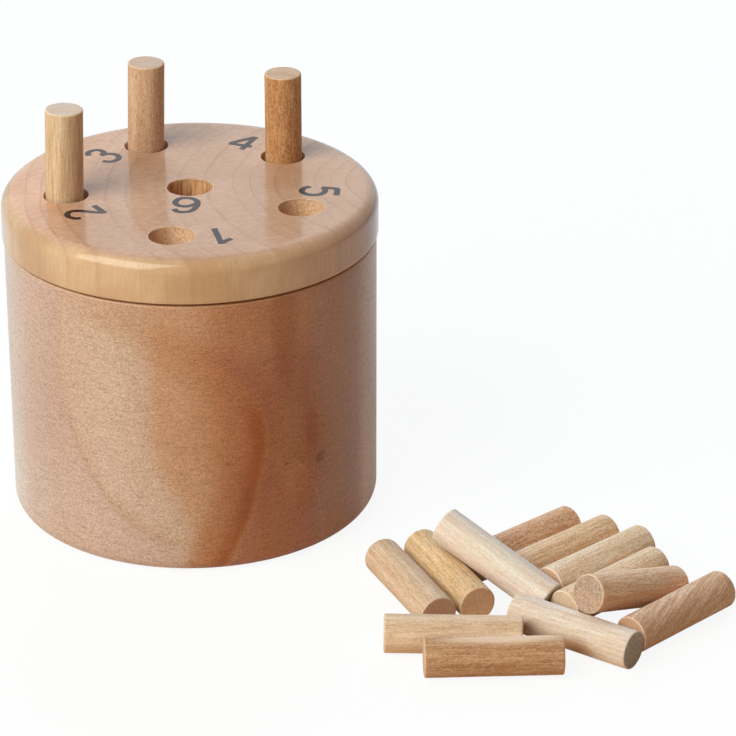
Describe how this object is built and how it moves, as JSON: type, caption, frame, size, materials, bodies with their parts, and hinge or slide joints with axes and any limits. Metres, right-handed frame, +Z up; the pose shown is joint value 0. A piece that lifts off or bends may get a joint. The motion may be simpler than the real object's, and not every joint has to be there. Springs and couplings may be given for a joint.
{
  "type": "super six dice game",
  "caption": "Round wooden box whose lid is a ring of numbered peg holes with a drop hole in the middle, with loose wooden pegs and a die for the number game.",
  "frame": {"origin": "middle of the cup's foot, on the table", "axes": "+Z up through the middle of the box; +Y away from someone who looks at the box from the front, where hole 1 is nearest; +X to the right, where the loose pegs lie"},
  "size_m": [0.1533, 0.126, 0.0909],
  "materials": {
    "cup": "satin varnish",
    "lid": "satin varnish",
    "die": "raw, sanded",
    "standing_peg_2": "raw dowel",
    "standing_peg_3": "raw dowel",
    "standing_peg_4": "raw dowel",
    "loose_peg_01": "raw dowel",
    "loose_peg_02": "raw dowel",
    "loose_peg_03": "raw dowel",
    "loose_peg_04": "raw dowel",
    "loose_peg_05": "raw dowel",
    "loose_peg_06": "raw dowel",
    "loose_peg_07": "raw dowel",
    "loose_peg_08": "raw dowel",
    "loose_peg_09": "raw dowel",
    "loose_peg_10": "raw dowel",
    "loose_peg_11": "raw dowel",
    "loose_peg_12": "raw dowel"
  },
  "bodies": {
    "cup": {"cup": "cup"},
    "lid": {"lid": "lid"},
    "die": {"die": "die"},
    "standing_peg_2": {"standing_peg_2": "standing_peg_2"},
    "standing_peg_3": {"standing_peg_3": "standing_peg_3"},
    "standing_peg_4": {"standing_peg_4": "standing_peg_4"},
    "loose_peg_01": {"loose_peg_01": "loose_peg_01"},
    "loose_peg_02": {"loose_peg_02": "loose_peg_02"},
    "loose_peg_03": {"loose_peg_03": "loose_peg_03"},
    "loose_peg_04": {"loose_peg_04": "loose_peg_04"},
    "loose_peg_05": {"loose_peg_05": "loose_peg_05"},
    "loose_peg_06": {"loose_peg_06": "loose_peg_06"},
    "loose_peg_07": {"loose_peg_07": "loose_peg_07"},
    "loose_peg_08": {"loose_peg_08": "loose_peg_08"},
    "loose_peg_09": {"loose_peg_09": "loose_peg_09"},
    "loose_peg_10": {"loose_peg_10": "loose_peg_10"},
    "loose_peg_11": {"loose_peg_11": "loose_peg_11"},
    "loose_peg_12": {"loose_peg_12": "loose_peg_12"}
  },
  "joints": [
    {"name": "lid_lift", "type": "slide", "parent": "cup", "child": "lid", "axis": [0, 0, 1], "range_m": [0, 0.04]},
    {"name": "die_lift", "type": "slide", "parent": "cup", "child": "die", "axis": [0, 0, 1], "range_m": [0, 0.03]},
    {"name": "standing_peg_2_pull", "type": "slide", "parent": "lid", "child": "standing_peg_2", "axis": [0.0279, 0, 0.9996], "range_m": [0, 0.025]},
    {"name": "standing_peg_3_pull", "type": "slide", "parent": "lid", "child": "standing_peg_3", "axis": [0.0279, 0, 0.9996], "range_m": [0, 0.025]},
    {"name": "standing_peg_4_pull", "type": "slide", "parent": "lid", "child": "standing_peg_4", "axis": [0, 0, 1], "range_m": [0, 0.025]},
    {"name": "loose_peg_01_lift", "type": "slide", "parent": "cup", "child": "loose_peg_01", "axis": [0, 0, 1], "range_m": [0, 0.04]},
    {"name": "loose_peg_02_draw", "type": "slide", "parent": "cup", "child": "loose_peg_02", "axis": [-0.4051, 0.9143, 0], "range_m": [0, 0.016]},
    {"name": "loose_peg_03_lift", "type": "slide", "parent": "cup", "child": "loose_peg_03", "axis": [0, 0, 1], "range_m": [0, 0.04]},
    {"name": "loose_peg_04_draw", "type": "slide", "parent": "cup", "child": "loose_peg_04", "axis": [0.7501, 0.6613, 0], "range_m": [0, 0.03]},
    {"name": "loose_peg_05_draw", "type": "slide", "parent": "cup", "child": "loose_peg_05", "axis": [0.749, 0.6626, 0], "range_m": [0, 0.03]},
    {"name": "loose_peg_06_lift", "type": "slide", "parent": "cup", "child": "loose_peg_06", "axis": [0, 0, 1], "range_m": [0, 0.04]},
    {"name": "loose_peg_07_draw", "type": "slide", "parent": "cup", "child": "loose_peg_07", "axis": [0.7242, 0.6896, 0], "range_m": [0, 0.03]},
    {"name": "loose_peg_08_lift", "type": "slide", "parent": "cup", "child": "loose_peg_08", "axis": [0, 0, 1], "range_m": [0, 0.04]},
    {"name": "loose_peg_09_lift", "type": "slide", "parent": "cup", "child": "loose_peg_09", "axis": [0, 0, 1], "range_m": [0, 0.04]},
    {"name": "loose_peg_10_draw", "type": "slide", "parent": "cup", "child": "loose_peg_10", "axis": [0.8202, -0.5721, 0], "range_m": [0, 0.03]},
    {"name": "loose_peg_11_lift", "type": "slide", "parent": "cup", "child": "loose_peg_11", "axis": [0, 0, 1], "range_m": [0, 0.04]},
    {"name": "loose_peg_12_lift", "type": "slide", "parent": "cup", "child": "loose_peg_12", "axis": [0, 0, 1], "range_m": [0, 0.04]}
  ]
}
